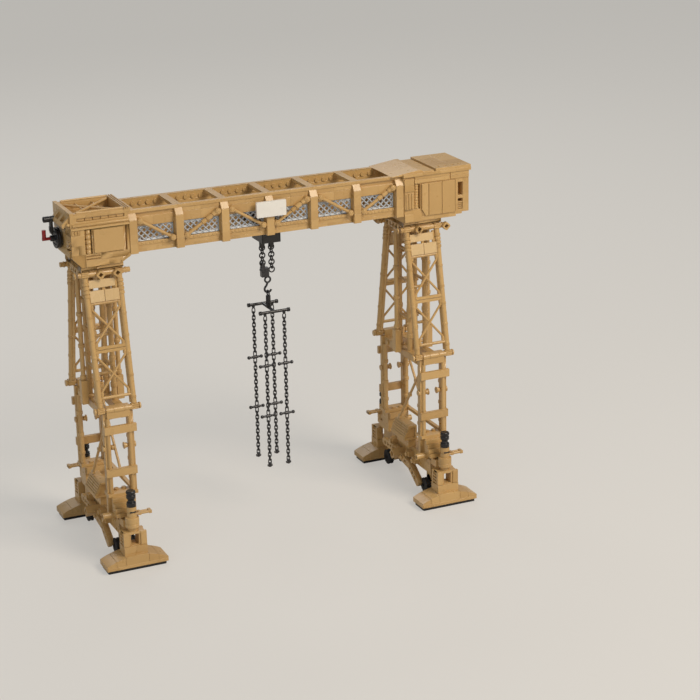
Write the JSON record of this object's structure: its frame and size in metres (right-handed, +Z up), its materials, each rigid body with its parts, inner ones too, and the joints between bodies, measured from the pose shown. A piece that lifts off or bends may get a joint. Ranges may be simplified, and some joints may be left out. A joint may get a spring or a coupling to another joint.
{
  "type": "toy gantry crane",
  "caption": "Brick-built toy gantry crane: latticed girder on two braced towers with screw jacks, small rubber tyred wheels, a travelling hoist and a chain sling.",
  "frame": {"origin": "on the floor, under the middle of the box around the whole crane", "axes": "+X along the girder to the right housing, -Y to the front, where the sign is, +Z up"},
  "size_m": [0.452, 0.174, 0.356],
  "materials": {
    "tan_brick": "moulded ABS, satin gloss",
    "lattice_grey": "moulded ABS, light bluish grey",
    "black_part": "moulded ABS, black",
    "tyre_black": "moulded soft rubber",
    "chain_grey": "moulded ABS, dark",
    "sign_white": "moulded ABS, white",
    "handle_red": "moulded ABS, red"
  },
  "bodies": {
    "frame": {"front_wall": "tan_brick", "back_wall": "tan_brick", "front_posts": "tan_brick", "back_posts": "tan_brick", "front_lattice": "lattice_grey", "back_lattice": "lattice_grey", "front_diagonals": "tan_brick", "back_diagonals": "tan_brick", "top_ties": "tan_brick", "trolley_rails": "tan_brick", "sign_plate": "sign_white", "left_housing": "tan_brick", "left_top_frame": "tan_brick", "left_door": "tan_brick", "end_tray": "tan_brick", "end_bar": "black_part", "right_housing": "tan_brick", "right_roof": "tan_brick", "right_doors": "tan_brick", "right_column": "tan_brick", "left_head": "tan_brick", "left_front_panel": "tan_brick", "left_back_panel": "tan_brick", "left_columns": "tan_brick", "left_front_leg": "tan_brick", "left_back_leg": "tan_brick", "left_chassis": "tan_brick", "left_winch_cover": "tan_brick", "left_front_jack": "tan_brick", "left_back_jack": "tan_brick", "left_front_pad": "tan_brick", "left_back_pad": "tan_brick", "right_head": "tan_brick", "right_front_panel": "tan_brick", "right_back_panel": "tan_brick", "right_columns": "tan_brick", "right_front_leg": "tan_brick", "right_back_leg": "tan_brick", "right_chassis": "tan_brick", "right_winch_cover": "tan_brick", "right_front_jack": "tan_brick", "right_back_jack": "tan_brick", "right_front_pad": "tan_brick", "right_back_pad": "tan_brick"},
    "trolley": {"trolley": "black_part", "hoist_chain": "chain_grey", "hook": "chain_grey"},
    "sling": {"sling_spreader": "black_part", "sling_chains": "chain_grey"},
    "hand_wheel": {"hand_wheel": "black_part", "crank_handle": "handle_red"},
    "left_front_wheels": {"left_front_wheels": "tyre_black"},
    "left_back_wheels": {"left_back_wheels": "tyre_black"},
    "right_front_wheels": {"right_front_wheels": "tyre_black"},
    "right_back_wheels": {"right_back_wheels": "tyre_black"}
  },
  "joints": [
    {"name": "trolley_travel", "type": "slide", "parent": "frame", "child": "trolley", "axis": [1, 0, 0], "range_m": [-0.118, 0.106]},
    {"name": "sling_swing", "type": "hinge", "parent": "trolley", "child": "sling", "pos_m": [0.006, 0, 0.242], "axis": [0, 1, 0], "range_deg": [-8, 8]},
    {"name": "hand_wheel_turn", "type": "hinge", "parent": "frame", "child": "hand_wheel", "pos_m": [-0.207, 0.006, 0.324], "axis": [1, 0, 0], "continuous": true},
    {"name": "left_front_wheels_roll", "type": "hinge", "parent": "frame", "child": "left_front_wheels", "pos_m": [-0.177, -0.046, 0.0114], "axis": [1, 0, 0], "continuous": true},
    {"name": "left_back_wheels_roll", "type": "hinge", "parent": "frame", "child": "left_back_wheels", "pos_m": [-0.177, 0.046, 0.0114], "axis": [1, 0, 0], "continuous": true},
    {"name": "right_front_wheels_roll", "type": "hinge", "parent": "frame", "child": "right_front_wheels", "pos_m": [0.171, -0.046, 0.0114], "axis": [1, 0, 0], "continuous": true},
    {"name": "right_back_wheels_roll", "type": "hinge", "parent": "frame", "child": "right_back_wheels", "pos_m": [0.171, 0.046, 0.0114], "axis": [1, 0, 0], "continuous": true}
  ]
}
